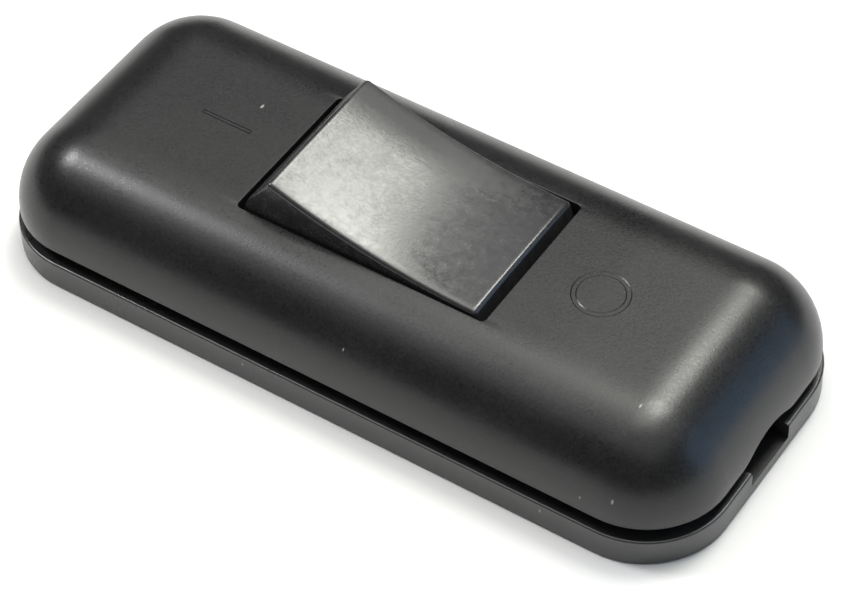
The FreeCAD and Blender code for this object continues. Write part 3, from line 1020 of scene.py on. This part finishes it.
def grained_black(name, dark, light, sheen, nicks):
    """Grained plastic between two shades, with nicks at the given places."""
    finish, tree, shader, place = new_finish(name)
    grain = clouds(tree, place, size_mm=0.26, detail=2, rough=0.6)
    mottle = clouds(tree, place, size_mm=1.3, detail=3, rough=0.55)
    hands = clouds(tree, place, size_mm=14, detail=3, rough=0.5, warp=0.6)
    marks = specks(tree, place, spacing_mm=4.2, size_mm=0.16, share=0.12)
    for at_mm, size_mm in nicks:
        marks = reckon(tree, "MAXIMUM", marks, nick(tree, place, at_mm, size_mm))

    tone = reckon(tree, "ADD", spread_noise(tree, grain, 0, 0.7), spread_noise(tree, mottle, 0, 0.3))
    darkest = (dark, dark, blue_in_dark * dark)
    lightest = (light, light, blue_in_light * light)
    mix = tree.nodes.new("ShaderNodeMix")
    mix.data_type = "RGBA"
    mix.inputs["B"].default_value = (*dust, 1)
    tree.links.new(marks, mix.inputs["Factor"])
    tree.links.new(shades(tree, tone, darkest, lightest), mix.inputs["A"])
    tree.links.new(mix.outputs["Result"], shader.inputs["Base Color"])

    polish = spread_noise(tree, hands, 0.28, 0.36)
    roughness = reckon(tree, "ADD", polish, spread_noise(tree, grain, -0.045, 0.045))
    tree.links.new(roughness, shader.inputs["Roughness"])
    height = reckon(tree, "ADD", grain, spread(tree, mottle, 0, 1, 0, 0.5))
    feel(tree, shader, height, depth_mm=0.016, strength=0.5)
    shader.inputs["Specular IOR Level"].default_value = sheen
    print(finish.name, "nodes", len(tree.nodes))
    return finish


# Each nick has its place and its size in mm.
cover_nicks = [
    ((-19.8, 3.6, 13.8), 0.17),
    ((31.5, -9.7, 13.7), 0.13),
    ((2.8, -15.6, 9.6), 0.1),
    ((29.5, -16.7, 6.5), 0.1),
    ((32.7, -16.4, 7.6), 0.16),
]
base_nicks = [((-8.3, -17.15, 2.2), 0.1), ((25.5, -17.15, 2.3), 0.12)]
housing_finish = grained_black("grained_black", dark=0.006, light=0.015, sheen=0.5, nicks=cover_nicks)
# The base's lit copy: its lighter colour and greater sheen are painted light on its low side.
base_lit_finish = grained_black("grained_black_lit_copy", dark=0.008, light=0.018, sheen=1.0, nicks=base_nicks)

# %% [markdown]
# ## Thumb-worn rocker plastic
# The rocker came from a smoother mould, and thumbs have polished it further. Grease leaves
# soft clouds in its gloss, nails leave fine lines along the way it is pushed, and grit has
# left pinpricks. Along the far edge of the raised end, where thumbs seldom come, the mould's
# duller skin is left. Wear could be painted into the colour, but on black plastic the colour
# hardly changes, so the work is in the roughness.

# %% Rocker finish
# The unworn skin sets in at the first place and is whole at the second, in metres.
unworn_across = (0.0032, 0.0062)
unworn_along = (0.014, -0.002)
ragged = 0.0005
rocker_sheen = 0.53


def unworn_part(tree, place, lines):
    """1 where the mould's skin is left, 0 where it is worn off, with a ragged edge between."""
    axes = tree.nodes.new("ShaderNodeSeparateXYZ")
    tree.links.new(place, axes.inputs["Vector"])
    across = reckon(tree, "ADD", axes.outputs["Y"], spread_noise(tree, lines, -ragged, ragged))
    far_edge = spread(tree, across, *unworn_across, 0, 1)
    raised_end = spread(tree, axes.outputs["X"], *unworn_along, 0, 1)
    return reckon(tree, "MULTIPLY", far_edge, raised_end)


def thumb_worn_black():
    finish, tree, shader, place = new_finish("thumb_worn_black")
    grease = clouds(tree, place, size_mm=7.0, detail=3, rough=0.5, warp=0.5)
    mottle = clouds(tree, place, size_mm=0.9, detail=3, rough=0.6)
    fine = clouds(tree, place, size_mm=0.28, detail=2, rough=0.6)
    pushed = stretched(tree, place, (0.03, 1.0, 1.0), (0, 0, -1))
    lines = clouds(tree, pushed, size_mm=0.2, detail=2, rough=0.6)
    pits = specks(tree, place, spacing_mm=1.9, size_mm=0.17, share=0.22)
    unworn = unworn_part(tree, place, lines)

    tone = spread_noise(tree, mottle, 0, 1)
    shade = shades(tree, tone, (0.02, 0.02, 0.021), (0.032, 0.032, 0.033))
    tree.links.new(shade, shader.inputs["Base Color"])

    roughness = spread_noise(tree, grease, 0.19, 0.24)
    for wear in (
        spread_noise(tree, mottle, -0.045, 0.045),
        spread_noise(tree, fine, -0.04, 0.04),
        spread(tree, lines, 0.6, 0.75, 0, 0.05),
        reckon(tree, "MULTIPLY", unworn, 0.3),
        reckon(tree, "MULTIPLY", pits, 0.2),
    ):
        roughness = reckon(tree, "ADD", roughness, wear)
    tree.links.new(roughness, shader.inputs["Roughness"])
    height = reckon(tree, "ADD", fine, spread_noise(tree, lines, 0, 0.4))
    feel(tree, shader, height, depth_mm=0.008, strength=0.5)
    shader.inputs["Specular IOR Level"].default_value = rocker_sheen
    print(finish.name, "nodes", len(tree.nodes))
    return finish


rocker_finish = thumb_worn_black()

# %% [markdown]
# ## Plastics inside
# The plungers are natural nylon, milky and slightly see-through, and the cord clamps are
# a plainer dark plastic than the housing. One flat colour each would do while the housing is
# shut, but not when the switch is opened. Both have flow marks from the mould.

# %% Nylon and clamp finishes
nylon_glow = 0.25
nylon_glow_depth = 0.0006


def natural_nylon():
    finish, tree, shader, place = new_finish("natural_nylon")
    flow = clouds(tree, stretched(tree, place, (1, 1, 0.3)), size_mm=1.2, detail=3, rough=0.5, warp=0.5)
    fine = clouds(tree, place, size_mm=0.12, detail=2, rough=0.5)
    shade = shades(tree, spread_noise(tree, flow, 0, 1), (0.68, 0.65, 0.57), (0.82, 0.8, 0.74))
    tree.links.new(shade, shader.inputs["Base Color"])
    tree.links.new(spread_noise(tree, flow, 0.34, 0.46), shader.inputs["Roughness"])
    feel(tree, shader, fine, depth_mm=0.008, strength=0.4)
    shader.inputs["Subsurface Weight"].default_value = nylon_glow
    shader.inputs["Subsurface Scale"].default_value = nylon_glow_depth
    print(finish.name, "nodes", len(tree.nodes))
    return finish


def plain_dark_plastic():
    finish, tree, shader, place = new_finish("plain_dark_plastic")
    flow = clouds(tree, stretched(tree, place, (1, 0.35, 1)), size_mm=2.0, detail=3, rough=0.5, warp=0.7)
    fine = clouds(tree, place, size_mm=0.18, detail=2, rough=0.6)
    shade = shades(tree, spread_noise(tree, flow, 0, 1), (0.03, 0.03, 0.032), (0.055, 0.055, 0.056))
    tree.links.new(shade, shader.inputs["Base Color"])
    tree.links.new(spread_noise(tree, fine, 0.42, 0.56), shader.inputs["Roughness"])
    feel(tree, shader, fine, depth_mm=0.015, strength=0.5)
    print(finish.name, "nodes", len(tree.nodes))
    return finish


nylon_finish = natural_nylon()
clamp_finish = plain_dark_plastic()

# %% [markdown]
# ## Metals inside
# The strips and levers are stamped from rolled brass, with the rolling lines along the
# strip. The terminals are sawn brass bar, duller and with marks across. The contact tips
# are a pale silver alloy with grey burn clouds, the springs drawn wire, and the screws zinc
# plated. Each could have a graph of its own, but one recipe serves them all: a metal whose
# lines, clouds and tarnish differ.

# %% Recipe for worked metal
def worked_metal(name, dark, light, rough, lines_way, line_mm, cloud_mm, tarnish):
    """Metal with tool lines squeezed along lines_way, and tarnish in its colour and gloss."""
    finish, tree, shader, place = new_finish(name)
    lines = clouds(tree, stretched(tree, place, lines_way), line_mm, detail=3, rough=0.65)
    stain = clouds(tree, place, cloud_mm, detail=4, rough=0.6, warp=0.6)

    stained = spread_noise(tree, stain, 0, tarnish)
    tone = reckon(tree, "ADD", stained, spread(tree, lines, 0.2, 0.8, 0, 1 - tarnish))
    tree.links.new(shades(tree, tone, dark, light), shader.inputs["Base Color"])

    dulled = spread_noise(tree, stain, rough + 0.08, rough - 0.04)
    roughness = reckon(tree, "ADD", dulled, spread_noise(tree, lines, 0, 0.08))
    tree.links.new(roughness, shader.inputs["Roughness"])
    feel(tree, shader, lines, depth_mm=0.006, strength=0.5)
    shader.inputs["Metallic"].default_value = 1.0
    print(finish.name, "nodes", len(tree.nodes))
    return finish


print("recipe for worked metal ready")

# %% Metal finishes
strip_brass = worked_metal(
    "rolled_brass", dark=(0.5, 0.33, 0.12), light=(0.83, 0.62, 0.29), rough=0.28,
    lines_way=(0.06, 1, 1), line_mm=0.12, cloud_mm=2.5, tarnish=0.5,
)
bar_brass = worked_metal(
    "sawn_brass", dark=(0.45, 0.31, 0.13), light=(0.78, 0.59, 0.3), rough=0.36,
    lines_way=(1, 1, 0.1), line_mm=0.16, cloud_mm=1.8, tarnish=0.6,
)
tip_silver = worked_metal(
    "burnt_silver", dark=(0.42, 0.41, 0.39), light=(0.86, 0.85, 0.82), rough=0.32,
    lines_way=(0.3, 1, 1), line_mm=0.1, cloud_mm=0.7, tarnish=0.7,
)
wire_steel = worked_metal(
    "drawn_wire", dark=(0.36, 0.36, 0.37), light=(0.66, 0.66, 0.67), rough=0.24,
    lines_way=(1, 1, 0.2), line_mm=0.08, cloud_mm=0.8, tarnish=0.4,
)
screw_zinc = worked_metal(
    "zinc_plate", dark=(0.4, 0.41, 0.42), light=(0.72, 0.73, 0.74), rough=0.3,
    lines_way=(1, 1, 1), line_mm=0.14, cloud_mm=1.2, tarnish=0.6,
)

# %% [markdown]
# ## Put the finishes on
# The record names a material slot for every node, so a finish is chosen by the slot and not
# by hand. The new shells and springs then get theirs one by one, because the base's lit copy
# of the black shares its slot with the cover's black.

# %% Dress every piece
slot_finish = {
    "housing_plastic": housing_finish,
    "rocker_plastic": rocker_finish,
    "plunger_plastic": nylon_finish,
    "spring_steel": wire_steel,
    "contact_brass": strip_brass,
    "contact_silver": tip_silver,
    "terminal_brass": bar_brass,
    "screw_steel": screw_zinc,
    "clamp_plastic": clamp_finish,
}
for part in frame["record"]["subparts"]:
    materials = nodes[part["node"]].data.materials
    materials.clear()
    materials.append(slot_finish[part["material_slot"]])
dressed = [(cover, housing_finish), (base, base_lit_finish), (rocker, rocker_finish)]
dressed += [(spring, wire_steel) for spring in springs]
for piece, finish in dressed:
    piece.data.materials.clear()
    piece.data.materials.append(finish)
